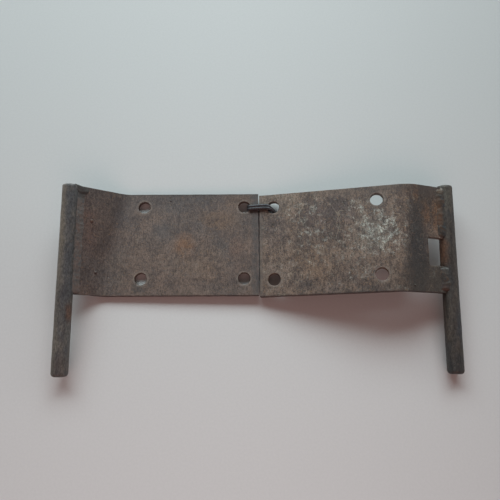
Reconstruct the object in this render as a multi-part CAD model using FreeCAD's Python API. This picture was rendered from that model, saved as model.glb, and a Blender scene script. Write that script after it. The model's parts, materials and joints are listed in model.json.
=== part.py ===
import FreeCAD, Part
import math
import os

# A pair of cranked steel hinge leaves laid out end to end and tied together with soft wire.
# Each leaf is a strip with four bolt holes. Its far end is bent out of plane along a skewed
# line and is butt welded to a round pin, which runs on past one edge of the strip so that it
# can drop into a socket. The left leaf is cranked up, the right leaf, its opposite hand, down.
#
# Leaf coordinates, in mm: u runs from the seam end towards the pin, v across the strip from
# the edge that the pin runs past, and w is the height above the strip's upper face.

# strip
STRIP_WIDTH = 60.0
STRIP_THICKNESS = 3.0
HOLE_RADIUS = 3.5
HOLE_FIRST_U = 8.2
HOLE_PITCH_U = 58.0
HOLE_FIRST_V = 9.5
HOLE_PITCH_V = 42.5

# pin
PIN_RADIUS = 4.5
PIN_WEAR = 0.05
PIN_WEAR_TAPER = 1.0
PIN_FREE_MARGIN = 1.5
PIN_TIP_ROUND = 1.3
PIN_TOP_ROUND = 0.7

# window beside the right pin, open towards the pin
WINDOW_U = 95.1
WINDOW_V = 14.9
WINDOW_HEIGHT = 15.4
WINDOW_CORNER = 1.2

# tie wire: two turns side by side through the pair of holes nearest the seam's far edge
WIRE_RADIUS = 0.83
WIRE_BEND = 1.15
WIRE_SPACING = 1.56
WIRE_OVER = 1.05
WIRE_UNDER = 0.88
WIRE_FROM_RIM = 1.35

# how the leaves lie
SEAM_GAP = 0.5
SEAM_HEIGHT = 4.75
LEFT_SLOPE = 1.11
RIGHT_SLOPE = 13.1
RIGHT_SHIFT_V = -1.0
WIRE_V = HOLE_FIRST_V + HOLE_PITCH_V + RIGHT_SHIFT_V / 2
FOLD_AXIS_RISE = 0.3

# Leaves: the crease is where the two planes of the upper face would meet, given at both
# edges of the strip (v = 0 and v = width); the pin's axis is given at the same two edges.
# "pin_from" and "pin_to" are distances along the pin's axis from its point at v = 0.
LEFT = {
    "crease_u": (89.3, 77.0),
    "crank_angle": 37.8,
    "bend_inner_radius": 12.0,
    "pin_u": (107.1, 108.9),
    "pin_from": -43.3,
    "pin_to": 59.8,
    "bead_front": {"toe_angle": 10.0, "leg": 2.4},
    "bead_back": {"toe_angle": 45.0, "leg": 2.6},
    "window": False,
}
RIGHT = {
    "crease_u": (75.9, 84.6),
    "crank_angle": -35.2,
    "bend_inner_radius": 18.0,
    "pin_u": (109.8, 110.2),
    "pin_from": -42.8,
    "pin_to": 61.4,
    "bead_front": {"toe_angle": 48.0, "leg": 2.7},
    "bead_back": {"toe_angle": 45.0, "leg": 2.6},
    "window": True,
}

BEAD_END_MARGIN = 1.0
WINDOW_BEAD_MARGIN = 0.6
BEAD_BULGE = 0.35

# modelling: points along each bent edge, and how far a cutting tool stands proud
ARC_POINTS = 9
CUT_MARGIN = 1.0


def vec(x, y, z):
    return FreeCAD.Vector(x, y, z)


class BentStrip:
    """Maps leaf coordinates to space for a strip bent once along a skewed crease."""

    def __init__(self, leaf):
        self.near = vec(leaf["crease_u"][0], 0, 0)
        self.far = vec(leaf["crease_u"][1], STRIP_WIDTH, 0)
        self.along = (self.far - self.near).normalize()
        self.across = self.along.cross(vec(0, 0, 1))
        self.skew = self.along.x / self.across.x
        self.sense = math.copysign(1, leaf["crank_angle"])
        self.angle = math.radians(abs(leaf["crank_angle"]))
        inner = leaf["bend_inner_radius"]
        self.centre_w = inner if self.sense > 0 else -(inner + STRIP_THICKNESS)
        self.tangent = abs(self.centre_w) * math.tan(self.angle / 2)

    def edge_start(self, v):
        return self.near + (self.far - self.near) * (v / STRIP_WIDTH)

    def place(self, start, s, length, w, turn):
        """The point at s across the crease, length along it and w up, in a plane turned by turn."""
        out = self.across * math.cos(turn) + vec(0, 0, self.sense * math.sin(turn))
        up = self.normal(turn)
        return start + self.along * length + out * s + up * w

    def normal(self, turn):
        return self.across * (-self.sense * math.sin(turn)) + vec(0, 0, math.cos(turn))

    def crank_point(self, u, v, w):
        """A point of the cranked end, for u beyond the crease."""
        flat = vec(u, v, 0) - self.near
        return self.place(self.near, flat.dot(self.across), flat.dot(self.along), w, self.angle)

    def bend_curve(self, v, w):
        """The line that the strip's edge at v follows round the bend, at height w."""
        radius = abs(w - self.centre_w)
        points = []
        for i in range(ARC_POINTS):
            turn = self.angle * i / (ARC_POINTS - 1)
            s = radius * math.sin(turn) - self.tangent
            height = self.centre_w - self.sense * radius * math.cos(turn)
            length = self.skew * self.tangent * (2 * i / (ARC_POINTS - 1) - 1)
            points.append(self.place(self.edge_start(v), s, length, height, 0))
        curve = Part.BSplineCurve()
        curve.interpolate(points)
        return curve.toShape()


def face_of(points):
    return Part.Face(Part.makePolygon(points + points[:1]))


def bend_solid(strip):
    """The curved stretch of the strip between its flat part and its crank."""
    edges = {
        (v, w): strip.bend_curve(v, w)
        for v in (0, STRIP_WIDTH)
        for w in (0, -STRIP_THICKNESS)
    }
    top = Part.makeRuledSurface(edges[0, 0], edges[STRIP_WIDTH, 0])
    bottom = Part.makeRuledSurface(edges[0, -STRIP_THICKNESS], edges[STRIP_WIDTH, -STRIP_THICKNESS])
    near = Part.makeRuledSurface(edges[0, 0], edges[0, -STRIP_THICKNESS])
    far = Part.makeRuledSurface(edges[STRIP_WIDTH, 0], edges[STRIP_WIDTH, -STRIP_THICKNESS])
    caps = []
    for end in (0, -1):
        corners = [
            edges[key].Vertexes[end].Point
            for key in (
                (0, 0),
                (STRIP_WIDTH, 0),
                (STRIP_WIDTH, -STRIP_THICKNESS),
                (0, -STRIP_THICKNESS),
            )
        ]
        caps.append(face_of(corners))
    shell = Part.makeShell([top, bottom, near, far] + caps)
    shell.sewShape()
    solid = Part.makeSolid(shell)
    if solid.Volume < 0:
        solid.reverse()
    return solid


def flat_solid(strip):
    """The flat part of the strip, from the seam end to the start of the bend, with its holes."""
    bend_start = [
        strip.place(strip.edge_start(v), -strip.tangent, -strip.skew * strip.tangent, 0, 0)
        for v in (0, STRIP_WIDTH)
    ]
    outline = [vec(0, 0, 0), bend_start[0], bend_start[1], vec(0, STRIP_WIDTH, 0)]
    solid = face_of(outline).extrude(vec(0, 0, -STRIP_THICKNESS))
    depth = STRIP_THICKNESS + 2 * CUT_MARGIN
    for i in range(2):
        for j in range(2):
            u = HOLE_FIRST_U + i * HOLE_PITCH_U
            v = HOLE_FIRST_V + j * HOLE_PITCH_V
            drill = Part.makeCylinder(HOLE_RADIUS, depth, vec(u, v, CUT_MARGIN), vec(0, 0, -1))
            solid = solid.cut(drill)
    return solid


def crank_solid(strip, leaf):
    """The cranked end, from the end of the bend to the pin's axis."""
    bend_end = [
        strip.place(strip.edge_start(v), strip.tangent, strip.skew * strip.tangent, 0, strip.angle)
        for v in (0, STRIP_WIDTH)
    ]
    near_end = strip.crank_point(leaf["pin_u"][0], 0, 0)
    far_end = strip.crank_point(leaf["pin_u"][1], STRIP_WIDTH, 0)
    normal = strip.normal(strip.angle)
    solid = face_of([bend_end[0], near_end, far_end, bend_end[1]]).extrude(normal * -STRIP_THICKNESS)
    if leaf["window"]:
        solid = solid.cut(window_cutter(strip))
    return solid


def window_cutter(strip):
    """A bar through the crank where the window is, rounded at its two corners away from the pin."""
    depth = strip.normal(strip.angle) * -(STRIP_THICKNESS + 2 * CUT_MARGIN)
    low_v = WINDOW_V
    high_v = WINDOW_V + WINDOW_HEIGHT
    pin_side_u = WINDOW_U + 3 * PIN_RADIUS
    outline = [(WINDOW_U, low_v), (pin_side_u, low_v), (pin_side_u, high_v), (WINDOW_U, high_v)]
    corners = [strip.crank_point(u, v, CUT_MARGIN) for u, v in outline]
    bar = face_of(corners).extrude(depth)
    rounded_at = [corner + depth / 2 for corner in (corners[0], corners[3])]
    rounded = [
        edge
        for edge in bar.Edges
        if any(edge.CenterOfMass.isEqual(middle, 1e-3) for middle in rounded_at)
    ]
    return bar.makeFillet(WINDOW_CORNER, rounded)


def pin_frame(strip, leaf):
    """The pin axis's point at v = 0, its direction, and the direction from the pin to the plate."""
    low = strip.crank_point(leaf["pin_u"][0], 0, -STRIP_THICKNESS / 2)
    high = strip.crank_point(leaf["pin_u"][1], STRIP_WIDTH, -STRIP_THICKNESS / 2)
    axis = (high - low).normalize()
    up = strip.normal(strip.angle)
    return low, axis, axis.cross(up) * -1, up


def turned(profile, base, axis):
    """The solid of revolution of a closed (radius, height) profile about an axis through base."""
    outline = Part.Wire(profile)
    solid = Part.Face(outline).revolve(vec(0, 0, 0), vec(0, 0, 1), 360)
    solid.Placement = FreeCAD.Placement(base, FreeCAD.Rotation(vec(0, 0, 1), axis))
    return solid


def line(start, end):
    return Part.LineSegment(vec(start[0], 0, start[1]), vec(end[0], 0, end[1])).toShape()


def corner_arc(radius, height, rounding, side):
    """A quarter round at the bar's rim: side is -1 at its lower end and 1 at its upper end."""
    centre = (radius - rounding, height - side * rounding)
    diagonal = rounding * math.sqrt(0.5)
    points = [
        (radius, centre[1]),
        (centre[0] + diagonal, centre[1] + side * diagonal),
        (centre[0], height),
    ]
    if side < 0:
        points.reverse()
    return Part.Arc(*[vec(x, 0, z) for x, z in points]).toShape()


def pin_solid(strip, leaf):
    """A round bar with rounded ends, a hair thinner where it turns in its socket."""
    low, axis = pin_frame(strip, leaf)[:2]
    free = -PIN_FREE_MARGIN - leaf["pin_from"]
    full = free + PIN_WEAR_TAPER
    length = leaf["pin_to"] - leaf["pin_from"]
    worn = PIN_RADIUS - PIN_WEAR
    profile = [
        line((0, 0), (worn - PIN_TIP_ROUND, 0)),
        corner_arc(worn, 0, PIN_TIP_ROUND, -1),
        line((worn, PIN_TIP_ROUND), (worn, free)),
        line((worn, free), (PIN_RADIUS, full)),
        line((PIN_RADIUS, full), (PIN_RADIUS, length - PIN_TOP_ROUND)),
        corner_arc(PIN_RADIUS, length, PIN_TOP_ROUND, 1),
        line((PIN_RADIUS - PIN_TOP_ROUND, length), (0, length)),
        line((0, length), (0, 0)),
    ]
    return turned(profile, low + axis * leaf["pin_from"], axis)


def pin_path(strip, leaf):
    """A plain bar along the pin, longer than it, that trims the plate and the welds to meet it."""
    low, axis = pin_frame(strip, leaf)[:2]
    start = low + axis * (leaf["pin_from"] - STRIP_WIDTH)
    length = leaf["pin_to"] - leaf["pin_from"] + 2 * STRIP_WIDTH
    return Part.makeCylinder(PIN_RADIUS, length, start, axis)


def bead_solid(strip, leaf, bead, side, start, end):
    """A fillet weld between pin and plate on one face: side is 1 above the plate, -1 below.

    The cross-section runs from the toe on the pin, bulging a little, to the toe on the plate.
    """
    low, axis, inward, up = pin_frame(strip, leaf)
    half = STRIP_THICKNESS / 2
    toe_turn = math.radians(bead["toe_angle"])
    pin_toe = (PIN_RADIUS * math.sin(toe_turn), PIN_RADIUS * math.cos(toe_turn))
    wall = math.sqrt(PIN_RADIUS**2 - half**2)
    plate_toe = (wall + bead["leg"], half)
    run = (plate_toe[0] - pin_toe[0], plate_toe[1] - pin_toe[1])
    span = math.hypot(*run)
    crown = (
        (pin_toe[0] + plate_toe[0]) / 2 - run[1] / span * BEAD_BULGE,
        (pin_toe[1] + plate_toe[1]) / 2 + run[0] / span * BEAD_BULGE,
    )

    def spot(point):
        return low + axis * start + inward * point[0] + up * (side * point[1])

    root = [spot((plate_toe[0], 0)), spot((0, 0))]
    edges = [
        Part.Arc(spot(pin_toe), spot(crown), spot(plate_toe)).toShape(),
        Part.makeLine(spot(plate_toe), root[0]),
        Part.makeLine(root[0], root[1]),
        Part.makeLine(root[1], spot(pin_toe)),
    ]
    return Part.Face(Part.Wire(edges)).extrude(axis * (end - start))


def bead_spans(leaf, strip):
    """The stretches of the joint that are welded, as distances along the pin's axis."""
    first = BEAD_END_MARGIN
    last = STRIP_WIDTH - BEAD_END_MARGIN
    if not leaf["window"]:
        return {"": (first, last)}
    return {
        "_lower": (first, WINDOW_V - WINDOW_BEAD_MARGIN),
        "_upper": (WINDOW_V + WINDOW_HEIGHT + WINDOW_BEAD_MARGIN, last),
    }


def leaf_solids(leaf, prefix):
    """All the pieces of one leaf in leaf coordinates, by node name."""
    strip = BentStrip(leaf)
    path = pin_path(strip, leaf)
    plate = flat_solid(strip).fuse([bend_solid(strip), crank_solid(strip, leaf)])
    plate = plate.cut(path).removeSplitter()
    solids = {prefix + "_plate": plate, prefix + "_pin": pin_solid(strip, leaf)}
    for face, side in (("front", 1), ("back", -1)):
        for part, (start, end) in bead_spans(leaf, strip).items():
            bead = bead_solid(strip, leaf, leaf["bead_" + face], side, start, end)
            solids[prefix + "_weld_" + face + part] = bead.cut(plate).cut(path)
    return solids


def wire_solid():
    """Two closed turns of wire round the seam, through the two holes beside it."""
    reach = HOLE_FIRST_U - HOLE_RADIUS + WIRE_FROM_RIM
    over = WIRE_OVER
    under = -STRIP_THICKNESS - WIRE_UNDER
    below_corner = SEAM_GAP + STRIP_THICKNESS * math.sin(math.radians(RIGHT_SLOPE))
    left = seam_placement(-LEFT_SLOPE, -SEAM_GAP / 2)
    right = seam_placement(-RIGHT_SLOPE, SEAM_GAP / 2)
    route = [
        left.multVec(vec(-reach, 0, over)),
        right.multVec(vec(reach, 0, over)),
        right.multVec(vec(reach, 0, under)),
        left.multVec(vec(below_corner, 0, under)),
        left.multVec(vec(-reach, 0, under)),
    ]
    turns = []
    for offset in (-WIRE_SPACING / 2, WIRE_SPACING / 2):
        shifted = [p + vec(0, WIRE_V - STRIP_WIDTH / 2 + offset, 0) for p in route]
        turns.append(closed_tube(shifted, WIRE_RADIUS, WIRE_BEND))
    return turns[0].fuse(turns[1])


def closed_tube(corners, radius, bend):
    """A tube along a closed route of straight runs joined by tangent arcs."""
    count = len(corners)
    arcs = []
    for i, corner in enumerate(corners):
        before = (corners[i - 1] - corner).normalize()
        after = (corners[(i + 1) % count] - corner).normalize()
        half_turn = before.getAngle(after) / 2
        middle = (before + after).normalize()
        reach = bend / math.tan(half_turn)
        crown = corner + middle * (bend / math.sin(half_turn) - bend)
        arcs.append((corner + before * reach, crown, corner + after * reach))
    path = []
    for i, arc in enumerate(arcs):
        following = arcs[(i + 1) % count]
        path.append(Part.makeLine(arc[2], following[0]))
        path.append(Part.Arc(*following).toShape())
    first_run = arcs[1][0] - arcs[0][2]
    section = Part.Wire(Part.makeCircle(radius, arcs[0][2], first_run))
    return Part.Wire(path).makePipeShell([section], True, False, 2)


def seam_placement(slope, x):
    """Sets a leaf's seam end at x, with its upper face at the seam height and its far end tilted."""
    return FreeCAD.Placement(vec(x, 0, SEAM_HEIGHT), FreeCAD.Rotation(vec(0, 1, 0), slope))


def placed(shape, slope, x, shift_v):
    """A leaf's piece with its strip centred on y = shift_v and its seam end set at the seam."""
    shape.translate(vec(0, shift_v - STRIP_WIDTH / 2, 0))
    shape.Placement = seam_placement(slope, x).multiply(shape.Placement)
    return shape


def assembly():
    """Every node in place, with the seam across x = 0 and the strip's middle at y = 0."""
    nodes = {}
    flip = vec(1, 0, 0)
    for name, shape in leaf_solids(LEFT, "left").items():
        nodes[name] = placed(shape.mirror(vec(0, 0, 0), flip), -LEFT_SLOPE, -SEAM_GAP / 2, 0)
    for name, shape in leaf_solids(RIGHT, "right").items():
        nodes[name] = placed(shape, -RIGHT_SLOPE, SEAM_GAP / 2, RIGHT_SHIFT_V)
    nodes["tie_wire"] = wire_solid()
    return nodes


def centred(nodes):
    """Moves everything so that the origin is at the middle of the bounding box's underside."""
    box = Part.makeCompound(list(nodes.values())).optimalBoundingBox(False)
    shift = vec(-box.Center.x, -box.Center.y, -box.ZMin)
    for shape in nodes.values():
        shape.translate(shift)
    return nodes, shift


def main():
    os.makedirs("parts", exist_ok=True)
    nodes, shift = centred(assembly())
    for name, shape in nodes.items():
        shape.exportStep("parts/" + name + ".step")
        print(name, shape.isValid(), len(shape.Solids), round(shape.Volume, 2))
    pivot = shift + vec(0, 0, SEAM_HEIGHT + FOLD_AXIS_RISE)
    print("fold axis through", [round(c, 4) for c in pivot])


main()
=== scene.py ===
"""A pair of old cranked hinge leaves with welded pins, tied together with wire, on a pale table.

The space is the CAD model's: x runs from the left leaf's pin to the right leaf's, y across the strips
away from the pins' free ends, and z up from the table. Blender works in metres. The object's sizes
here are in mm, and MM turns them into metres. The room's sizes are in metres. Angles are in degrees.
"""

import json
import math

import bmesh
import bpy
from mathutils import Matrix, Vector, noise
from mathutils.bvhtree import BVHTree


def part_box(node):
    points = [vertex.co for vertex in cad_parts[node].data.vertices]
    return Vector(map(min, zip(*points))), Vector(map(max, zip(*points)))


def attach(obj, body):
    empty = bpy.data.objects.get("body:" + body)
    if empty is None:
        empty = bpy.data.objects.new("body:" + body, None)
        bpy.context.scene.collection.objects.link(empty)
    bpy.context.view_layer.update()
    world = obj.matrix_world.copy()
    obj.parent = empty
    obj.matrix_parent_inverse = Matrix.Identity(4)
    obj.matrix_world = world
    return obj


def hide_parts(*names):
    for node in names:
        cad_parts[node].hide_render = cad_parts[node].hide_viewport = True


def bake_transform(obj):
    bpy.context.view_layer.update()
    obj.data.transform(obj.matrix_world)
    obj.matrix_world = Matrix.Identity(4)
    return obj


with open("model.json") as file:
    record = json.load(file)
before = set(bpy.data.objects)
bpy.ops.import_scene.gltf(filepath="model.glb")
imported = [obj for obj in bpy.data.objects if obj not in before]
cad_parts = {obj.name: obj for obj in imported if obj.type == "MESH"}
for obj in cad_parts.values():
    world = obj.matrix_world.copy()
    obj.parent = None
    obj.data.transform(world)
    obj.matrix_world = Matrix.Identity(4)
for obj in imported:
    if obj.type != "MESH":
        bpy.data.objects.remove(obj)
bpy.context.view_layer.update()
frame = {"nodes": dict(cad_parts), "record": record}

MM = 0.001
UP = Vector((0, 0, 1))
MOUNTS = {mount["name"]: mount for mount in frame["record"]["mounts"]}
FOLD_POINT = Vector(frame["record"]["behaviour"]["joints"][0]["pos_m"])

# strips
EDGE_ROUND = 0.32
SHARP_EDGE = 35
CUT_GAP = 2.0
STRIP_WEAR = 0.09
STRIP_WEAR_SIZES = (9.0, 3.1)
# drops of weld spatter: shares of the strip's box in x and in y, and a radius
SPATTER = {
    "left": [(0.085, 0.68, 0.85), (0.11, 0.22, 0.85), (0.5, 0.93, 0.5)],
    "right": [(0.8, 0.06, 0.5)],
}

# pins
TIP_CHAMFER = 1.3
TOP_ROUND = 0.8
PIN_SIDES = 64
PIN_RING_GAP = 0.9
DENT_SIZE = 2.6
DENT_DEPTH = 0.05
UNEVEN_SIZE = 11
UNEVEN_DEPTH = 0.06
PIN_SINK = 0.05
# moves the noise aside, so that the two pins aren't dented alike
PIN_SHIFT = {"left": 4, "right": 5}
# rings that close an end: the share of its radius, and how deep the ring lies
END_RINGS = ((0.72, 0.0), (0.4, 0.03), (0.12, 0.04))

# weld beads: how far up the pin's flank they reach in degrees, and how far over the strip
WELD_CLIMB = {"left": 52, "right": 66}
WELD_REACH = {"left": 2.6, "right": 2.4}
WELD_RING_GAP = 0.8
WELD_END_LENGTH = 1.6
WELD_PROFILE_STEPS = 8
# a slow wave in the bead's width, height and climb
WAVE_SIZE = 6
WAVE_HEIGHT = 0.5
# what is left of the climb, in shares, and of the reach, in mm, at the bead's ends
END_CLIMB = 0.75
END_REACH = 0.5
WELD_FOOT_SINK = 0.12
WELD_ROOT_DEPTH = 1.3
# the bead's corner inside the pin: degrees up the flank, and how far out from it
WELD_BACK = (5, -1.5)
# the strip's face is felt for no nearer than this to the ends of the bead's box
PROBE_MARGIN = 0.8
WELD_VOXEL = 0.3
RIPPLE_LENGTH = 2.6
RIPPLE_HEIGHT = 0.035
FINE_SIZE = 1.5
FINE_HEIGHT = 0.12
BROAD_SIZE = 4.5
BROAD_HEIGHT = 0.16
# the left front bead runs out to the pin's top and spreads there
CAPPED_WELD = "left_weld_front"
CAP_RISE = 0.45
CAP_LENGTH = 4.0
CAP_SPREAD = 3.0
CAP_FULLNESS = 0.85
# knobs of weld metal: a share of the bead's length, degrees up the pin's flank, how far out from
# the flank, and three radii
KNOBS = {
    "right_weld_front_upper": [(0.97, 60, -2.2, (3.4, 3.0, 2.1)), (0.66, 62, -2.3, (2.6, 7.0, 2.2))],
    "right_weld_front_lower": [(0.88, 66, -2.3, (4.2, 2.8, 2.2)), (0.4, 58, -2.1, (3.2, 5.0, 2.2))],
}

# tie wire
WIRE_RADIUS = 0.8
TURN_OFFSETS = (-0.8, 0.8)

# room
TABLE_RADIUS = 1.7
TABLE_DROP = 0.00002
WALL_COLOUR = (0.42, 0.395, 0.385)
ROOM_COLOUR = (0.108, 0.074, 0.068)
# the upward part of the direction in which the wall has faded out
WALL_TOP = 0.24
CAMERA_PLACE = (-0.00917, -0.06004, 0.27773)
CAMERA_TILT = 15.777
CAMERA_ROLL = -0.811
CAMERA_LENS = 36.01
CAMERA_SENSOR = 36
CAMERA_SHIFT = (-0.0009, 0.0003)


# ---------------------------------------------------------------- shapes


def new_piece(name, mesh, node, body, material):
    """A visible piece that stands for one CAD node. A piece without a body is left unattached."""
    piece = bpy.data.objects.new(name, mesh)
    bpy.context.scene.collection.objects.link(piece)
    mesh.materials.clear()
    mesh.materials.append(material)
    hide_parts(node)
    if body:
        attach(piece, body)
    return piece


def mesh_from(bm, name):
    mesh = bpy.data.meshes.new(name)
    bmesh.ops.recalc_face_normals(bm, faces=bm.faces)
    bm.to_mesh(mesh)
    bm.free()
    mesh.shade_smooth()
    return mesh


def evaluated_mesh(holder):
    """The mesh that a curve or a modified object comes out as. The object itself is removed."""
    bpy.context.scene.collection.objects.link(holder)
    graph = bpy.context.evaluated_depsgraph_get()
    made = bpy.data.meshes.new_from_object(holder.evaluated_get(graph))
    bpy.data.objects.remove(holder)
    return made


def roughen(bm, amount, sizes):
    """Moves every vertex along its normal by smooth noise, with an equal share for each size."""
    bm.normal_update()
    for vert in bm.verts:
        push = sum(noise.noise(vert.co / (size * MM)) for size in sizes) / len(sizes)
        vert.co += vert.normal * (push * amount * MM)


def lump(bm, centre, radii):
    """A rounded knob of weld metal."""
    place = Matrix.Translation(centre) @ Matrix.Diagonal((*radii, 1))
    bmesh.ops.create_icosphere(bm, subdivisions=3, radius=MM, matrix=place)


def skin_of(node):
    """The surface of a CAD node, for casting rays at."""
    mesh = frame["nodes"][node].data
    return BVHTree.FromPolygons([v.co for v in mesh.vertices], [p.vertices for p in mesh.polygons])


def join_rings(bm, lower, upper):
    """A band of faces between two rings of as many vertices."""
    count = len(lower)
    for i in range(count):
        j = (i + 1) % count
        bm.faces.new((lower[i], lower[j], upper[j], upper[i]))


def cut_across(bm, low, high, axis):
    """Cuts the faces along evenly spaced planes, so that the mesh is fine enough to be uneven."""
    normal = Vector((1, 0, 0)) if axis == 0 else Vector((0, 1, 0))
    steps = int((high[axis] - low[axis]) / (CUT_GAP * MM))
    for i in range(1, steps):
        spot = Vector(low) + normal * (i * CUT_GAP * MM)
        bmesh.ops.bisect_plane(bm, geom=bm.verts[:] + bm.edges[:] + bm.faces[:],
                               plane_co=spot, plane_no=normal, dist=0.001 * MM)


def worn_plate(node, spatter):
    """The strip with its sharp edges rounded over, slightly uneven, with drops of spatter on it."""
    bm = bmesh.new()
    bm.from_mesh(frame["nodes"][node].data)
    bmesh.ops.remove_doubles(bm, verts=bm.verts, dist=0.002 * MM)
    bmesh.ops.dissolve_limit(bm, angle_limit=math.radians(0.5), verts=bm.verts, edges=bm.edges)
    least = math.radians(SHARP_EDGE)
    sharp = [e for e in bm.edges if e.is_manifold and e.calc_face_angle(0) > least]
    bmesh.ops.bevel(bm, geom=sharp, offset=EDGE_ROUND * MM, segments=2, profile=0.55,
                    affect="EDGES", clamp_overlap=True)
    low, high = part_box(node)
    for axis in (0, 1):
        cut_across(bm, low, high, axis)
    bmesh.ops.triangulate(bm, faces=[f for f in bm.faces if len(f.verts) > 4])
    roughen(bm, STRIP_WEAR, STRIP_WEAR_SIZES)
    skin = skin_of(node)
    for across, along, radius in spatter:
        x = low[0] + (high[0] - low[0]) * across
        y = low[1] + (high[1] - low[1]) * along
        above = Vector((x, y, high[2] + MM))
        lump(bm, skin.ray_cast(above, -UP)[0], (radius, radius, radius * 0.9))
    return mesh_from(bm, node + "_worn")


def pin_axis(side):
    """A point on the pin's axis, the direction from its tip to its top, and its radius in metres."""
    mount = MOUNTS[side + "_pin"]
    return Vector(mount["pos_m"]), -Vector(mount["axis"]).normalized(), mount["dims"]["r_mm"] * MM


def pin_rings(length, radius):
    """Each ring's height above the tip and its radius, for a ground tip and a hammered top."""
    rings = [
        (0.0, radius - TIP_CHAMFER * MM),
        (TIP_CHAMFER * 0.35 * MM, radius - TIP_CHAMFER * 0.42 * MM),
        (TIP_CHAMFER * 0.9 * MM, radius - 0.1 * MM),
        (TIP_CHAMFER * 1.25 * MM, radius),
    ]
    ring_gap = PIN_RING_GAP * MM
    height = rings[-1][0] + ring_gap
    while height < length - TOP_ROUND * 1.4 * MM:
        rings.append((height, radius))
        height += ring_gap
    rings.append((length - TOP_ROUND * MM, radius))
    rings.append((length - TOP_ROUND * 0.3 * MM, radius - TOP_ROUND * 0.3 * MM))
    rings.append((length, radius - TOP_ROUND * MM))
    return rings


def worn_pin(side):
    """A round bar on its axis, ring by ring, with shallow dents and slightly dished ends."""
    node = side + "_pin"
    shift = PIN_SHIFT[side]
    point, rise, radius = pin_axis(side)
    heights = [(v.co - point).dot(rise) for v in frame["nodes"][node].data.vertices]
    tip = point + rise * min(heights)
    across = rise.cross(UP).normalized()
    front = across.cross(rise)
    bm = bmesh.new()
    loops = []
    for height, ring_radius in pin_rings(max(heights) - min(heights), radius):
        loop = []
        for i in range(PIN_SIDES):
            turn = 2 * math.pi * i / PIN_SIDES
            out = across * math.cos(turn) + front * math.sin(turn)
            spot = tip + rise * height + out * ring_radius
            drawn = Vector((spot.x, spot.y * 0.35, spot.z)) / (DENT_SIZE * MM)
            dent = noise.noise(drawn + Vector((shift, 0, 0)))
            uneven = noise.noise(spot / (UNEVEN_SIZE * MM) + Vector((0, shift, 0)))
            push = DENT_DEPTH * dent + UNEVEN_DEPTH * uneven - PIN_SINK
            loop.append(bm.verts.new(spot + out * (push * MM)))
        loops.append(loop)
    for lower, upper in zip(loops, loops[1:]):
        join_rings(bm, lower, upper)
    for loop, way in ((loops[0], -1), (loops[-1], 1)):
        centre = sum((v.co for v in loop), Vector()) / PIN_SIDES
        outer = loop
        for share, depth in END_RINGS:
            sunk = rise * (way * depth * MM)
            inner = [bm.verts.new(centre + (v.co - centre) * share - sunk) for v in loop]
            join_rings(bm, outer, inner)
            outer = inner
        bm.faces.new(outer)
    return mesh_from(bm, node + "_worn")


def remeshed(bm, name, voxel):
    """The outside of overlapping closed shapes as one even skin."""
    holder = bpy.data.objects.new(name, mesh_from(bm, name))
    skin = holder.modifiers.new("skin", "REMESH")
    skin.mode = "VOXEL"
    skin.voxel_size = voxel * MM
    return evaluated_mesh(holder)


class Corner:
    """The corner between a pin and its strip. facing is 1 on the upper face, -1 on the underside."""

    def __init__(self, side, facing):
        self.point, self.rise, self.radius = pin_axis(side)
        self.inward = 1 if side == "left" else -1
        self.facing = facing
        self.strip = skin_of(side + "_plate")

    def axis_at(self, y):
        return self.point + self.rise * ((y - self.point.y) / self.rise.y)

    def flank(self, y, degrees, out):
        """The place so many degrees up the pin's flank and so many mm out from it."""
        turn = math.radians(degrees)
        away = Vector((self.inward * math.cos(turn), 0, self.facing * math.sin(turn)))
        return self.axis_at(y) + away * (self.radius + out * MM)

    def face_height(self, x, y):
        """The height of the strip's face on this side of it."""
        start = Vector((x, y, self.facing * 0.1))
        return self.strip.ray_cast(start, Vector((0, 0, -self.facing)))[0].z


def smooth_bead(bm, corner, low, high, climb, reach, cap):
    """The bead ring by ring, thinner at both ends. cap is how much wider it gets at the pin's top."""
    facing = corner.facing
    end = high[1] + (CAP_RISE * MM if cap else 0.0)
    steps = int((end - low[1]) / (WELD_RING_GAP * MM))
    rings = []
    for i in range(steps + 1):
        y = low[1] + (end - low[1]) * i / steps
        from_end = min(i, steps - i) * WELD_RING_GAP
        full = math.sqrt(max(0.0, 1 - max(0.0, 1 - from_end / WELD_END_LENGTH) ** 2))
        near_top = max(0.0, 1 - (end - y) / (CAP_LENGTH * MM)) if cap else 0.0
        full = max(full, CAP_FULLNESS * math.sqrt(near_top))
        wide = reach + cap * math.sqrt(near_top)
        wave = WAVE_HEIGHT * noise.noise(Vector((y / (WAVE_SIZE * MM), facing, 3.0)))
        top = corner.flank(y, climb * (END_CLIMB + (1 - END_CLIMB) * full) + 9 * wave, -0.1)
        over_strip = (END_REACH + (wide - END_REACH) * full + 0.5 * wave) * MM
        x = corner.axis_at(y).x + corner.inward * (corner.radius + over_strip)
        probe_y = min(max(y, low[1] + PROBE_MARGIN * MM), high[1] - PROBE_MARGIN * MM)
        foot = Vector((x, y, corner.face_height(x, probe_y) - facing * WELD_FOOT_SINK * MM))
        bulge = 0.35 * full - 0.25 + 0.2 * wave
        ring = []
        for k in range(WELD_PROFILE_STEPS + 1):
            share = k / WELD_PROFILE_STEPS
            spot = top.lerp(foot, share)
            spot.z += facing * math.sin(math.pi * share) * bulge * MM
            ring.append(spot)
        ring.append(foot - Vector((0, 0, facing * WELD_ROOT_DEPTH * MM)))
        ring.append(corner.flank(y, *WELD_BACK))
        rings.append([bm.verts.new(spot) for spot in ring])
    for lower, upper in zip(rings, rings[1:]):
        join_rings(bm, lower, upper)
    bm.faces.new(rings[0])
    bm.faces.new(rings[-1][::-1])


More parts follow.
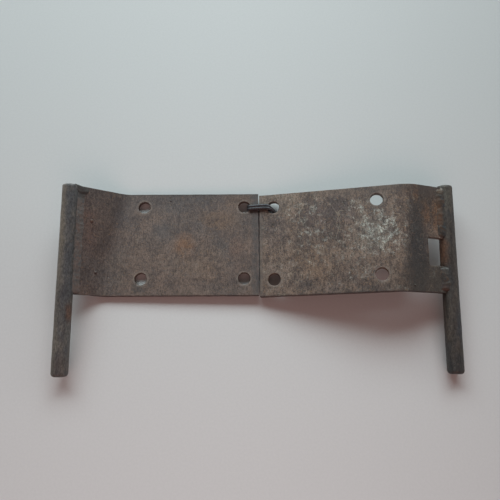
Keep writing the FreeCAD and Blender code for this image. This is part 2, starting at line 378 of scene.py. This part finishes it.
def weld(node, side, facing):
    """A bead, nearly flush from the pin's flank to the strip's face, with its knobs and ripples."""
    corner = Corner(side, facing)
    low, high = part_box(node)
    bm = bmesh.new()
    cap = CAP_SPREAD if node == CAPPED_WELD else 0.0
    smooth_bead(bm, corner, low, high, WELD_CLIMB[side], WELD_REACH[side], cap)
    for share, degrees, out, radii in KNOBS.get(node, ()):
        lump(bm, corner.flank(low[1] + (high[1] - low[1]) * share, degrees, out), radii)
    mesh = remeshed(bm, node + "_bead", WELD_VOXEL)
    bm = bmesh.new()
    bm.from_mesh(mesh)
    bm.normal_update()
    for vert in bm.verts:
        along = (vert.co - corner.point).dot(corner.rise) / MM
        drift = 1.1 * noise.noise(Vector((along * 0.21, vert.co.x / (3 * MM), 4.0)))
        ripple = math.sin(2 * math.pi * (along + drift) / RIPPLE_LENGTH)
        fine = FINE_HEIGHT * noise.noise(vert.co / (FINE_SIZE * MM))
        broad = BROAD_HEIGHT * noise.noise(vert.co / (BROAD_SIZE * MM))
        vert.co += vert.normal * ((RIPPLE_HEIGHT * ripple + (fine + broad)) * MM)
    bmesh.ops.smooth_vert(bm, verts=bm.verts, factor=0.5,
                          use_axis_x=True, use_axis_y=True, use_axis_z=True)
    return mesh_from(bm, node + "_bead")


def strand(points):
    """A closed loop of wire that follows a smooth line through its control points."""
    curve = bpy.data.curves.new("strand", "CURVE")
    curve.dimensions = "3D"
    curve.bevel_depth = WIRE_RADIUS * MM
    curve.bevel_resolution = 4
    curve.resolution_u = 8
    curve.use_fill_caps = True
    spline = curve.splines.new("NURBS")
    spline.points.add(len(points) - 1)
    for spline_point, place in zip(spline.points, points):
        spline_point.co = (*place, 1)
    spline.order_u = 4
    spline.use_cyclic_u = True
    return evaluated_mesh(bpy.data.objects.new("strand", curve))


def wire_route(offset):
    """One turn of the wire: up through the left hole, over the seam, down the right hole and back."""
    wire_low, wire_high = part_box("tie_wire")
    left_hole = Vector(MOUNTS["left_tied_hole"]["pos_m"])
    right_hole = Vector(MOUNTS["right_tied_hole"]["pos_m"])
    y = (wire_low[1] + wire_high[1]) / 2 + offset * MM
    sag = right_hole.y + offset * 0.45 * MM
    return [
        (left_hole.x + 2.3 * MM, y, 0.9 * MM),
        (left_hole.x + 2.2 * MM, y, 3.6 * MM),
        (left_hole.x + 2.6 * MM, y - 0.3 * MM, 5.9 * MM),
        (left_hole.x + 5.2 * MM, y - 0.1 * MM, 5.75 * MM),
        (FOLD_POINT.x, y + 0.2 * MM, 5.85 * MM),
        (right_hole.x - 5.0 * MM, y + 0.1 * MM, 6.7 * MM),
        (right_hole.x - 2.9 * MM, y - 0.5 * MM, 7.8 * MM),
        (right_hole.x - 1.5 * MM, sag - 1.0 * MM, 7.0 * MM),
        (right_hole.x + 0.2 * MM, sag - 1.9 * MM, 5.4 * MM),
        (right_hole.x + 1.5 * MM, sag - 2.1 * MM, 3.4 * MM),
        (right_hole.x - 0.6 * MM, sag - 1.4 * MM, 2.0 * MM),
        (FOLD_POINT.x + 3.0 * MM, y, 1.2 * MM),
        (FOLD_POINT.x - 2.0 * MM, y, 0.85 * MM),
    ]


# ---------------------------------------------------------------- materials


class Graph:
    """Builds one material. Sockets come back from most methods, so that they can be chained."""

    def __init__(self, name):
        self.material = bpy.data.materials.new(name)
        self.material.use_nodes = True
        self.tree = self.material.node_tree
        self.tree.nodes.clear()
        place = self.node("ShaderNodeTexCoord").outputs["Object"]
        self.mm = self.vector("SCALE", place, Scale=1 / MM)

    def node(self, kind, **settings):
        made = self.tree.nodes.new(kind)
        for key, value in settings.items():
            setattr(made, key, value)
        return made

    def put(self, socket, value):
        if isinstance(value, bpy.types.NodeSocket):
            self.tree.links.new(value, socket)
        else:
            socket.default_value = value

    def math(self, kind, a, b=0.0):
        made = self.node("ShaderNodeMath", operation=kind)
        self.put(made.inputs[0], a)
        self.put(made.inputs[1], b)
        return made.outputs[0]

    def vector(self, kind, a, b=None, **named):
        made = self.node("ShaderNodeVectorMath", operation=kind)
        self.put(made.inputs[0], a)
        if b is not None:
            self.put(made.inputs[1], b)
        for key, value in named.items():
            self.put(made.inputs[key], value)
        return made.outputs["Value" if kind == "LENGTH" else "Vector"]

    def axes(self, place):
        """The x and y of a place."""
        made = self.node("ShaderNodeSeparateXYZ")
        self.put(made.inputs[0], place)
        return made.outputs[0], made.outputs[1]

    def stretch(self, amounts):
        """Coordinates that draw a pattern out along an axis whose amount is below 1."""
        return self.vector("MULTIPLY", self.mm, amounts)

    def shifted(self, *amounts):
        """Coordinates moved aside, so that one noise doesn't follow another."""
        return self.vector("ADD", self.mm, amounts)

    def noise_node(self, size, detail, place, roughness):
        made = self.node("ShaderNodeTexNoise", normalize=True)
        self.put(made.inputs["Vector"], place)
        made.inputs["Scale"].default_value = 1 / size
        made.inputs["Detail"].default_value = detail
        made.inputs["Roughness"].default_value = roughness
        return made

    def noise(self, size, detail=3.0, place=None, roughness=0.55):
        """Noise from 0 to 1 whose features are about size mm across."""
        return self.noise_node(size, detail, place or self.mm, roughness).outputs[0]

    def wander(self, amount, size):
        """Coordinates pushed about, so that what is placed with them gets ragged edges."""
        colours = self.noise_node(size, 3, self.mm, 0.5).outputs["Color"]
        off = self.vector("SUBTRACT", colours, (0.5, 0.5, 0.5))
        return self.vector("ADD", self.mm, self.vector("SCALE", off, Scale=amount))

    def spread(self, value, low, high, to_low=0.0, to_high=1.0):
        """The value taken smoothly from one range to another."""
        made = self.node("ShaderNodeMapRange", interpolation_type="SMOOTHSTEP")
        self.put(made.inputs["Value"], value)
        made.inputs["From Min"].default_value = low
        made.inputs["From Max"].default_value = high
        made.inputs["To Min"].default_value = to_low
        made.inputs["To Max"].default_value = to_high
        return made.outputs[0]

    def mix(self, share, a, b):
        """Colour a with a share of colour b in it."""
        made = self.node("ShaderNodeMix", data_type="RGBA")
        self.put(made.inputs[0], share)
        self.put(made.inputs[6], a if isinstance(a, bpy.types.NodeSocket) else (*a, 1))
        self.put(made.inputs[7], b if isinstance(b, bpy.types.NodeSocket) else (*b, 1))
        return made.outputs[2]

    def shade(self, colour, value):
        """The colour made lighter or darker by a value around 1."""
        return self.vector("SCALE", colour, Scale=value)

    def patch(self, place, centre, radii, soft=0.7):
        """1 well inside an ellipse seen from above, fading to 0 outside it."""
        off = self.vector("SUBTRACT", place, (centre[0], centre[1], 0))
        far = self.vector("LENGTH", self.vector("MULTIPLY", off, (1 / radii[0], 1 / radii[1], 0)))
        return self.spread(far, 1 - soft, 1 + soft, 1, 0)

    def tinted(self, colour, mask, share, tint):
        """The colour with a share of the tint where the mask is 1."""
        return self.mix(self.math("MULTIPLY", mask, share), colour, tint)

    def stained(self, colour, place, stains):
        """The colour with stains on it, each a centre, two radii, a tint and a share."""
        for centre, radii, tint, share in stains:
            colour = self.tinted(colour, self.patch(place, centre, radii), share, tint)
        return colour

    def bump(self, height, distance):
        made = self.node("ShaderNodeBump")
        made.inputs["Strength"].default_value = 1.0
        made.inputs["Distance"].default_value = distance * MM
        self.put(made.inputs["Height"], height)
        return made.outputs[0]

    def finish(self, colour, roughness, normal, metallic, specular=0.5):
        """The finished material."""
        shader = self.node("ShaderNodeBsdfPrincipled")
        self.put(shader.inputs["Base Color"], colour)
        self.put(shader.inputs["Roughness"], roughness)
        self.put(shader.inputs["Metallic"], metallic)
        self.put(shader.inputs["Normal"], normal)
        shader.inputs["Specular IOR Level"].default_value = specular
        self.tree.links.new(shader.outputs[0], self.node("ShaderNodeOutputMaterial").inputs[0])
        return self.material


def on(node, across, along):
    """A place on a piece in mm: shares of its box from its low x end and from its low y end."""
    low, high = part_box(node)
    return ((low[0] + (high[0] - low[0]) * across) / MM, (low[1] + (high[1] - low[1]) * along) / MM)


def placed(node, stains):
    """Stains whose centres, given as shares of a piece's box, are turned into mm."""
    return [(on(node, *spot), *rest) for spot, *rest in stains]


def holes_of(side):
    """The centres of one leaf's four holes seen from above, in mm, from the record's mounts."""
    if side == "left":
        far = [MOUNTS["left_bolt_far"], MOUNTS["left_tied_hole"]]
        near_y = MOUNTS["left_bolts_pin_edge"]["pos_m"][1]
    else:
        far = [MOUNTS["right_bolt_near_pin_high"], MOUNTS["right_tied_hole"]]
        near_y = MOUNTS["right_bolt_near_seam"]["pos_m"][1]
    spots = []
    for mount in far:
        x, y = mount["pos_m"][:2]
        spots += [(x / MM, y / MM), (x / MM, near_y / MM)]
    return spots


def crusted(g, colour, node, ragged, blotch, pale, mottled):
    """Crust in blotches a few mm across, stronger in the mottled places."""
    where = 0.28
    for spot, radii, share in mottled:
        mask = g.math("MULTIPLY", g.patch(ragged, on(node, *spot), radii, 0.8), share)
        where = g.math("MAXIMUM", where, mask)
    broken = g.spread(g.noise(1.2, 4, g.stretch((1.0, 0.8, 1.0)), 0.8), 0.42, 0.56, 0.1, 1.0)
    level = g.math("ADD", blotch, g.math("MULTIPLY", where, 0.13))
    crust = g.math("MULTIPLY", g.math("MULTIPLY", g.spread(level, 0.56, 0.7), broken), where)
    return g.mix(crust, colour, pale)


def grained(g, colour, grain, grit):
    """Fine grain, made stronger by grit, part of it drawn out along y."""
    drawn = g.noise(1.9, 4, g.stretch((1.0, 0.16, 1.0)), 0.65)
    fine = g.noise(0.55, 2, g.shifted(9.0, 2.0, 6.0), 0.8)
    shade = g.spread(grain, 0.34, 0.66, -0.38, 0.38)
    shade = g.math("ADD", shade, g.spread(drawn, 0.3, 0.7, -0.12, 0.12))
    shade = g.math("ADD", shade, g.spread(fine, 0.32, 0.68, -0.34, 0.34))
    return g.shade(colour, g.math("ADD", g.math("MULTIPLY", shade, grit), 1.0))


def scratched(g, colour, share):
    """Hairline scratches: broken contour lines of broad noise."""
    scratch = 0.0
    for size, shift in ((13.0, 4.0), (8.0, 37.0)):
        place = g.vector("ADD", g.stretch((1.0, 0.7, 1.0)), (shift, shift, 0.0))
        from_line = g.math("ABSOLUTE", g.math("SUBTRACT", g.noise(size, 1.0, place, 0.4), 0.5))
        scratch = g.math("ADD", scratch, g.spread(from_line, 0.0, 0.09 / size, 1, 0))
    broken = g.spread(g.noise(5.0, 2, g.shifted(3.0, 33.0, 3.0)), 0.5, 0.6)
    return g.tinted(colour, g.math("MULTIPLY", scratch, broken), share, SCRATCH)


def rimmed(g, colour, side, blotch):
    """The worn rims of the holes: broken bright rings half a mm outside them."""
    for x, y in holes_of(side):
        off = g.vector("MULTIPLY", g.vector("SUBTRACT", g.mm, (x, y, 0)), (1, 1, 0))
        far = g.math("ABSOLUTE", g.math("SUBTRACT", g.vector("LENGTH", off), RIM_RADIUS))
        ring = g.spread(far, 0.25, 0.75, 0.5, 0)
        colour = g.mix(g.math("MULTIPLY", ring, g.spread(blotch, 0.4, 0.55, 0.25, 1.0)), colour, RIM)
    return colour


def edged(g, colour, node, blotch, seam_band):
    """A band of another tint along the seam, and painted shade on the strip's cut edges and side faces.
    """
    x, y = g.axes(g.wander(1.5, 3.0))
    band_x, band_width, band_tint, band_share = seam_band
    off = g.math("ABSOLUTE", g.math("SUBTRACT", x, band_x))
    band = g.spread(off, band_width * 0.3, band_width * 1.3, band_share, 0)
    band = g.math("MULTIPLY", band, g.spread(blotch, 0.35, 0.6, 1.0, 0.35))
    colour = g.mix(band, colour, band_tint)
    low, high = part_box(node)
    from_middle = g.math("ABSOLUTE", g.math("SUBTRACT", y, (low[1] + high[1]) / 2 / MM))
    half = (high[1] - low[1]) / 2 / MM
    # painted shade along the cut edges and the side faces
    return g.mix(g.spread(from_middle, half - 1.1, half - 0.3, 0, 0.62), colour, CUT_EDGE_SHADE)


def plate_steel(side, ground, light, dark, stains, pale, dusky, mottled, grit, specks, scratches,
                seam_band, soot_and_shade):
    """Old bare strip, from its broad tones and stains, some of them painted shade, to its fine marks.

    dusky is the tint, size and share of dark clouds. Each mottled place is a spot, two radii and a
    share. soot is stains laid over the fine marks: dark stains, and over the right strip's crank
    painted shade. seam_band is the band's x, width, tint and share.
    """
    node = side + "_plate"
    g = Graph(node + "_steel")
    ragged = g.wander(7.0, 6.0)
    blotch = g.noise(3.4, 6, roughness=0.72)
    grain = g.noise(0.9, 4, g.stretch((1.0, 0.45, 1.0)), 0.8)
    clouds_tint, clouds_size, clouds_share = dusky
    clouds = g.spread(g.noise(clouds_size, 6, g.shifted(57.0, 11.0, 23.0), 0.72), 0.46, 0.66)
    ochre = g.spread(g.noise(1.1, 3, g.shifted(7.0, 71.0, 3.0), 0.75), 0.57, 0.68)
    bluish = g.spread(g.noise(1.7, 4, g.shifted(19.0, 5.0, 43.0), 0.75), 0.55, 0.66)
    pits = g.spread(g.noise(1.3, 2, g.shifted(31.0, 17.0, 5.0), 0.7), 0.62, 0.72)

    colour = g.mix(g.spread(g.noise(15.0, 5, roughness=0.6), 0.4, 0.6), dark, light)
    colour = g.mix(0.45, colour, ground)
    colour = g.stained(colour, ragged, placed(node, stains))
    colour = crusted(g, colour, node, ragged, blotch, pale, mottled)
    colour = g.tinted(colour, clouds, clouds_share, clouds_tint)
    colour = grained(g, colour, grain, grit)
    colour = g.tinted(colour, ochre, specks, OCHRE)
    colour = g.tinted(colour, bluish, 0.45, BLUISH)
    colour = g.tinted(colour, pits, 0.65, STRIP_PIT)
    colour = scratched(g, colour, scratches)
    colour = g.stained(colour, ragged, placed(node, soot_and_shade))
    colour = rimmed(g, colour, side, blotch)
    colour = edged(g, colour, node, blotch, seam_band)
    colour = g.vector("MULTIPLY", colour, STRIP_TONE)

    height = g.math("ADD", g.math("MULTIPLY", grain, 0.5), g.math("MULTIPLY", blotch, 1.2))
    height = g.math("SUBTRACT", height, pits)
    roughness = g.spread(blotch, 0.3, 0.7, 0.48, 0.66)
    return g.finish(colour, roughness, g.bump(height, 0.09), STEEL_METALLIC)


def pin_steel(side, ground, light, dark, blue, stains):
    """Round bar with streaks along it, blue-grey mill scale, small pits and rust stains. Some of the
    left pin's stains are painted light and shade on its flanks.
    """
    node = side + "_pin"
    g = Graph(node + "_steel")
    streaks = g.noise(2.0, 5, g.stretch((1.0, 0.12, 1.0)), 0.65)
    grain = g.noise(0.75, 3, g.stretch((1.0, 0.4, 1.0)), 0.7)
    scale = g.spread(g.noise(7.0, 4, g.stretch((1.0, 0.5, 1.0))), 0.42, 0.62)
    specks = g.spread(g.noise(1.1, 2, g.shifted(3.0, 9.0, 41.0)), 0.62, 0.7)
    pits = g.spread(g.noise(1.4, 1), 0.67, 0.75)

    colour = g.mix(g.spread(streaks, 0.36, 0.64), dark, light)
    colour = g.mix(0.4, colour, ground)
    colour = g.tinted(colour, scale, 0.7, blue)
    colour = g.stained(colour, g.wander(4.0, 5.0), placed(node, stains))
    colour = g.shade(colour, g.spread(grain, 0.32, 0.68, 0.62, 1.38))
    colour = g.tinted(colour, specks, 0.3, PIN_SPECK)
    colour = g.tinted(colour, pits, 0.5, PIN_PIT)

    height = g.math("SUBTRACT", grain, pits)
    roughness = g.spread(streaks, 0.3, 0.7, 0.44, 0.62)
    return g.finish(colour, roughness, g.bump(height, 0.07), STEEL_METALLIC)


def weld_metal(name, ground, rust, blue, stains):
    """Weld metal gone dark, with patches of rust and of blue scale, and a slight sheen."""
    g = Graph(name)
    grain = g.noise(0.7, 3, roughness=0.7)
    scale = g.noise(2.6, 4, g.shifted(5.0, 5.0, 5.0), 0.7)
    colour = g.mix(g.spread(g.noise(3.4, 4, roughness=0.7), 0.44, 0.6), ground, rust)
    colour = g.mix(g.spread(scale, 0.5, 0.64), colour, blue)
    colour = g.stained(colour, g.wander(2.5, 3.0), stains)
    colour = g.shade(colour, g.spread(grain, 0.3, 0.7, 0.78, 1.22))
    roughness = g.spread(grain, 0.3, 0.7, 0.4, 0.6)
    return g.finish(colour, roughness, g.bump(grain, 0.06), STEEL_METALLIC)


def wire_iron(name):
    """Black annealed wire, greyer in places, with a little rust."""
    g = Graph(name)
    scale = g.noise(0.8, 3)
    colour = g.mix(g.spread(scale, 0.42, 0.66), (0.026, 0.028, 0.033), (0.095, 0.098, 0.108))
    colour = g.tinted(colour, g.spread(g.noise(2.6, 2), 0.6, 0.72), 0.35, (0.06, 0.035, 0.025))
    return g.finish(colour, g.spread(scale, 0.3, 0.7, 0.34, 0.5), g.bump(scale, 0.04), 0.2)


def table_paint_and_light(name):
    """Matt pale paint with painted light on it: cooler towards the window, warmer away from it and
    darker at both sides, where the light falls off.
    """
    g = Graph(name)
    x, y = g.axes(g.mm)
    # painted light: cool where the window's light falls, warm towards the warm fill from the south
    colour = g.mix(g.spread(y, -150, 170, 1, 0), (0.585, 0.625, 0.625), (0.64, 0.615, 0.61))
    # painted falloff of the light, darker to the east and to the west
    east = g.spread(x, -20, 250, 1.0, 0.76)
    west = g.spread(x, -220, -20, 0.9, 1.0)
    colour = g.shade(colour, g.math("MULTIPLY", east, west))
    weave = g.noise(1.2, 3)
    colour = g.shade(colour, g.spread(weave, 0.3, 0.7, 0.985, 1.015))
    return g.finish(colour, 0.62, g.bump(weave, 0.02), 0.0, 0.3)


# ---------------------------------------------------------------- the looks of this pair

BROWN = (0.138, 0.108, 0.092)
BLUE = (0.078, 0.078, 0.08)
RUST = (0.2, 0.105, 0.052)
OCHRE = (0.29, 0.185, 0.1)
BLUISH = (0.085, 0.087, 0.092)
STRIP_PIT = (0.034, 0.026, 0.025)
SCRATCH = (0.3, 0.26, 0.2)
RIM = (0.235, 0.21, 0.18)
RIM_RADIUS = 4.0
# the colour of the painted shade on the strips' cut edges
CUT_EDGE_SHADE = (0.045, 0.039, 0.038)
STRIP_TONE = (0.97, 0.915, 0.905)
# how metallic the strips, pins and beads look under their dull skin
STEEL_METALLIC = 0.25
PIN_SPECK = (0.2, 0.15, 0.11)
PIN_PIT = (0.03, 0.024, 0.022)

left_steel = plate_steel(
    "left", BROWN, light=(0.168, 0.127, 0.102), dark=(0.08, 0.069, 0.065),
    stains=[
        ((0.55, 0.90), (24, 5), (0.085, 0.078, 0.078), 0.55),
        ((0.64, 0.66), (10, 6), BLUE, 0.5),
        ((0.80, 0.42), (8, 8), BLUE, 0.5),
        ((0.46, 0.60), (9, 9), (0.13, 0.115, 0.105), 0.45),
        ((0.585, 0.48), (5.0, 6.5), RUST, 0.62),
        ((0.59, 0.34), (4.5, 5), (0.19, 0.125, 0.08), 0.45),
        ((0.72, 0.30), (8, 8), (0.17, 0.125, 0.09), 0.5),
        ((0.78, 0.74), (8, 5), (0.19, 0.122, 0.074), 0.62),
        ((0.88, 0.93), (8, 4), (0.17, 0.11, 0.07), 0.5),
        ((0.38, 0.34), (12, 12), (0.165, 0.125, 0.1), 0.45),
        ((0.13, 0.2), (6, 9), BLUE, 0.6),
        ((0.06, 0.6), (4, 15), (0.125, 0.078, 0.066), 0.55),
        ((0.21, 0.85), (3.6, 16), (0.07, 0.065, 0.065), 0.55),
        ((0.14, 0.85), (12, 8), (0.082, 0.075, 0.074), 0.55),
        ((0.21, 0.25), (6, 10), (0.14, 0.118, 0.1), 0.45),
        ((0.50, 0.98), (48, 5), (0.07, 0.065, 0.064), 0.6),
        ((0.54, 0.82), (6, 5), BLUE, 0.45),
        ((0.86, 0.75), (10, 7), (0.1, 0.088, 0.08), 0.35),
        ((0.58, 0.30), (9, 5), (0.175, 0.14, 0.112), 0.5),
        ((0.87, 0.45), (4, 6), (0.17, 0.112, 0.085), 0.5),
        ((0.76, 0.05), (20, 4), (0.165, 0.137, 0.115), 0.45),
        ((0.96, 0.16), (4, 6), (0.175, 0.142, 0.116), 0.5),
        ((0.04, 0.35), (4, 16), (0.11, 0.105, 0.1), 0.4),
        ((0.345, 0.09), (2.4, 4), (0.06, 0.058, 0.056), 0.7),
    ],
    pale=(0.2, 0.16, 0.13),
    dusky=((0.062, 0.053, 0.052), 9.0, 0.5),
    mottled=[
        ((0.6, 0.35), (38, 14), 0.8),
        ((0.5, 0.65), (30, 12), 0.5),
    ],
    grit=0.85, specks=0.38, scratches=0.2,
    seam_band=(-2.2, 2.6, (0.062, 0.067, 0.071), 0.75),
    soot_and_shade=[
        ((0.46, 0.62), (5, 5), (0.1, 0.1, 0.102), 0.4),
        ((0.34, 0.86), (14, 4), (0.085, 0.08, 0.078), 0.3),
    ],
)
right_steel = plate_steel(
    "right", (0.142, 0.108, 0.086), light=(0.205, 0.158, 0.122), dark=(0.068, 0.056, 0.05),
    stains=[
        ((0.44, 0.80), (10, 6), (0.075, 0.062, 0.058), 0.6),
        ((0.12, 0.92), (13, 6), (0.2, 0.175, 0.14), 0.5),
        ((0.28, 0.27), (12, 9), (0.19, 0.13, 0.085), 0.5),
        ((0.245, 0.11), (5, 4), (0.07, 0.062, 0.06), 0.6),
        ((0.50, 0.20), (11, 7), (0.1, 0.08, 0.068), 0.45),
        # this stain and the next two darken the crank: painted shade where it faces away from the light
        ((0.835, 0.38), (6.0, 28), (0.036, 0.036, 0.036), 0.85),
        ((0.97, 0.05), (10, 20), (0.05, 0.045, 0.039), 0.85),
        ((0.90, 0.85), (9, 13), (0.062, 0.048, 0.038), 0.8),
        ((0.78, 0.93), (5, 5), (0.12, 0.078, 0.054), 0.5),
        ((0.845, 0.93), (1.8, 5), RUST, 0.6),
        ((0.89, 0.72), (2.2, 6), RUST, 0.5),
        ((0.965, 0.72), (2.6, 8), (0.17, 0.085, 0.038), 0.6),
        ((0.10, 0.22), (12, 6), (0.22, 0.182, 0.15), 0.55),
        ((0.37, 0.05), (5, 4), (0.2, 0.165, 0.14), 0.45),
        ((0.34, 0.76), (9, 8), (0.085, 0.068, 0.066), 0.55),
        ((0.08, 0.60), (7, 9), (0.11, 0.092, 0.088), 0.4),
        ((0.12, 0.69), (4, 5), (0.085, 0.074, 0.07), 0.4),
        ((0.47, 0.70), (4, 4), (0.085, 0.072, 0.07), 0.4),
        ((0.59, 0.52), (8, 9), (0.25, 0.24, 0.205), 0.5),
    ],
    pale=(0.45, 0.5, 0.45),
    dusky=((0.05, 0.04, 0.038), 5.2, 0.66),
    mottled=[
        ((0.53, 0.80), (8, 5), 0.75),
        ((0.64, 0.56), (13, 15), 1.0),
        ((0.25, 0.78), (9, 7), 0.8),
        ((0.3, 0.55), (14, 8), 0.6),
        ((0.45, 0.4), (34, 26), 0.45),
    ],
    grit=1.12, specks=0.6, scratches=0.55,
    seam_band=(0.9, 1.1, (0.15, 0.14, 0.13), 0.5),
    soot_and_shade=[
        ((0.70, 0.98), (36, 5), (0.07, 0.062, 0.058), 0.45),
        # the soot from 0.79 across on lies over the crank: painted shade where it faces away from the
        # light
        ((0.84, 0.40), (4.5, 26), (0.038, 0.038, 0.039), 0.5),
        ((0.79, 0.28), (5, 9), (0.04, 0.04, 0.041), 0.45),
        ((0.88, 0.07), (18, 12), (0.048, 0.046, 0.04), 0.5),
        ((0.63, 0.83), (5, 5), (0.075, 0.066, 0.06), 0.5),
        ((0.93, 0.95), (8, 4), (0.06, 0.05, 0.044), 0.5),
    ],
)
left_bar = pin_steel(
    "left", (0.118, 0.109, 0.098),
    light=(0.158, 0.145, 0.126), dark=(0.074, 0.075, 0.078), blue=(0.068, 0.074, 0.082),
    stains=[
        # the two long light streaks on the west flank are painted light, and the two dark patches east
        # of the crest painted shade
        ((0.30, 0.76), (2.6, 32), (0.2, 0.175, 0.14), 0.75),
        ((0.12, 0.22), (2.4, 26), (0.17, 0.15, 0.12), 0.6),
        ((0.55, 0.34), (4, 9), (0.056, 0.058, 0.062), 0.5),
        ((0.66, 0.78), (2.0, 20), (0.068, 0.072, 0.078), 0.5),
        ((0.84, 0.32), (1.4, 4), (0.13, 0.064, 0.04), 0.7),
        ((0.6, 0.06), (6, 6), (0.085, 0.066, 0.058), 0.5),
    ],
)
right_bar = pin_steel(
    "right", (0.056, 0.047, 0.041),
    light=(0.088, 0.075, 0.062), dark=(0.034, 0.03, 0.027), blue=(0.036, 0.038, 0.04),
    stains=[
        ((0.3, 0.93), (6, 6), (0.11, 0.108, 0.088), 0.5),
        ((0.1, 0.63), (2.6, 8), (0.14, 0.064, 0.032), 0.7),
        ((0.72, 0.26), (2.4, 10), (0.042, 0.046, 0.054), 0.6),
    ],
)
left_bead = weld_metal(
    "left_weld_beads",
    ground=(0.15, 0.136, 0.127), rust=(0.168, 0.128, 0.112), blue=(0.112, 0.116, 0.12),
    stains=placed("left_weld_front", [
        ((0.9, 0.97), (6, 4), (0.058, 0.055, 0.053), 0.9),
    ]),
)
right_bead = weld_metal(
    "right_weld_beads",
    ground=(0.048, 0.044, 0.039), rust=(0.078, 0.054, 0.04), blue=(0.042, 0.045, 0.046),
    stains=placed("right_weld_front_upper", [
        ((0.4, 0.96), (2.6, 2.2), (0.15, 0.11, 0.075), 0.5),
        ((0.1, 0.62), (1.8, 4.5), (0.14, 0.074, 0.04), 0.45),
        ((0.2, 0.36), (2.0, 3), (0.15, 0.076, 0.042), 0.45),
    ]) + placed("right_weld_front_lower", [
        ((0.8, 0.8), (2.4, 2.6), (0.09, 0.092, 0.086), 0.5),
        ((0.4, 0.05), (2.5, 3), (0.07, 0.036, 0.028), 0.6),
    ]),
)
black_wire = wire_iron("tie_wire")

STEEL = {"left": left_steel, "right": right_steel}
BAR = {"left": left_bar, "right": right_bar}
BEAD = {"left": left_bead, "right": right_bead}


# ---------------------------------------------------------------- pieces


def add_leaf(side):
    """One leaf's strip and pin."""
    body = side + "_leaf"
    plate_node = side + "_plate"
    mesh = worn_plate(plate_node, SPATTER[side])
    strip = new_piece(side + "_strip", mesh, plate_node, body, STEEL[side])
    even = strip.modifiers.new("even", "WEIGHTED_NORMAL")
    even.keep_sharp = False
    new_piece(side + "_bar", worn_pin(side), side + "_pin", body, BAR[side])


def add_weld(node):
    side = node.split("_")[0]
    facing = 1 if "front" in node else -1
    new_piece(node + "_bead", weld(node, side, facing), node, side + "_leaf", BEAD[side])


def add_tie_wire():
    """The wire's turns side by side as one piece."""
    bm = bmesh.new()
    for offset in TURN_OFFSETS:
        bm.from_mesh(strand(wire_route(offset)))
    mesh = mesh_from(bm, "tie_wire_strands")
    wire = new_piece("tie_wire_strands", mesh, "tie_wire", None, black_wire)
    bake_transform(wire)


add_leaf("left")
add_leaf("right")
for node in frame["nodes"]:
    if "weld" in node:
        add_weld(node)
add_tie_wire()


# ---------------------------------------------------------------- table, light, camera


def add_table():
    bm = bmesh.new()
    bmesh.ops.create_circle(bm, cap_ends=True, segments=160, radius=TABLE_RADIUS)
    table = bpy.data.objects.new("table", mesh_from(bm, "table"))
    bpy.context.scene.collection.objects.link(table)
    table.location.z = -TABLE_DROP
    table.data.materials.append(table_paint_and_light("table_paint_and_light"))


def add_room():
    """A pale wall up to just above the horizon, fading into the dim room."""
    world = bpy.data.worlds.new("room")
    bpy.context.scene.world = world
    world.use_nodes = True
    nodes = world.node_tree.nodes
    link = world.node_tree.links.new
    direction = nodes.new("ShaderNodeSeparateXYZ")
    height = nodes.new("ShaderNodeMapRange")
    height.interpolation_type = "SMOOTHSTEP"
    height.inputs["From Min"].default_value = 0.0
    height.inputs["From Max"].default_value = WALL_TOP
    tone = nodes.new("ShaderNodeMix")
    tone.data_type = "RGBA"
    tone.inputs[6].default_value = (*WALL_COLOUR, 1)
    tone.inputs[7].default_value = (*ROOM_COLOUR, 1)
    link(nodes.new("ShaderNodeTexCoord").outputs["Generated"], direction.inputs[0])
    link(direction.outputs["Z"], height.inputs["Value"])
    link(height.outputs[0], tone.inputs[0])
    link(tone.outputs[2], nodes["Background"].inputs[0])


def add_panel(name, bearing, elevation, distance, size, watts, colour):
    """A rectangular panel of light that faces the origin. Its bearing is in degrees east of north."""
    lamp = bpy.data.lights.new(name, "AREA")
    lamp.shape = "RECTANGLE"
    lamp.size, lamp.size_y = size
    lamp.energy = watts
    lamp.color = colour
    turn = math.radians(bearing)
    lift = math.radians(elevation)
    towards = Vector((math.sin(turn) * math.cos(lift), math.cos(turn) * math.cos(lift), math.sin(lift)))
    holder = bpy.data.objects.new(name, lamp)
    holder.location = towards * distance
    holder.rotation_mode = "QUATERNION"
    holder.rotation_quaternion = towards.to_track_quat("Z", "Y")
    bpy.context.scene.collection.objects.link(holder)


def add_camera():
    lens = bpy.data.cameras.new("camera")
    lens.sensor_width = CAMERA_SENSOR
    lens.lens = CAMERA_LENS
    lens.clip_start = 0.01
    lens.shift_x, lens.shift_y = CAMERA_SHIFT
    camera = bpy.data.objects.new("camera", lens)
    camera.matrix_world = (Matrix.Translation(CAMERA_PLACE)
                           @ Matrix.Rotation(math.radians(CAMERA_TILT), 4, "X")
                           @ Matrix.Rotation(math.radians(CAMERA_ROLL), 4, "Y"))
    bpy.context.scene.collection.objects.link(camera)
    bpy.context.scene.camera = camera


add_table()
add_room()
add_panel("window", bearing=-6, elevation=34.0, distance=2.5, size=(3.4, 1.25),
          watts=88.5, colour=(0.86, 1.0, 1.03))
add_panel("warm_wall", bearing=180, elevation=38, distance=2.0, size=(2.4, 1.2),
          watts=12.0, colour=(1.0, 0.62, 0.57))
add_panel("side_wall", bearing=62, elevation=20, distance=2.0, size=(1.6, 0.5),
          watts=4.0, colour=(0.95, 1.0, 0.98))
add_camera()
bpy.context.scene.view_settings.view_transform = "Standard"
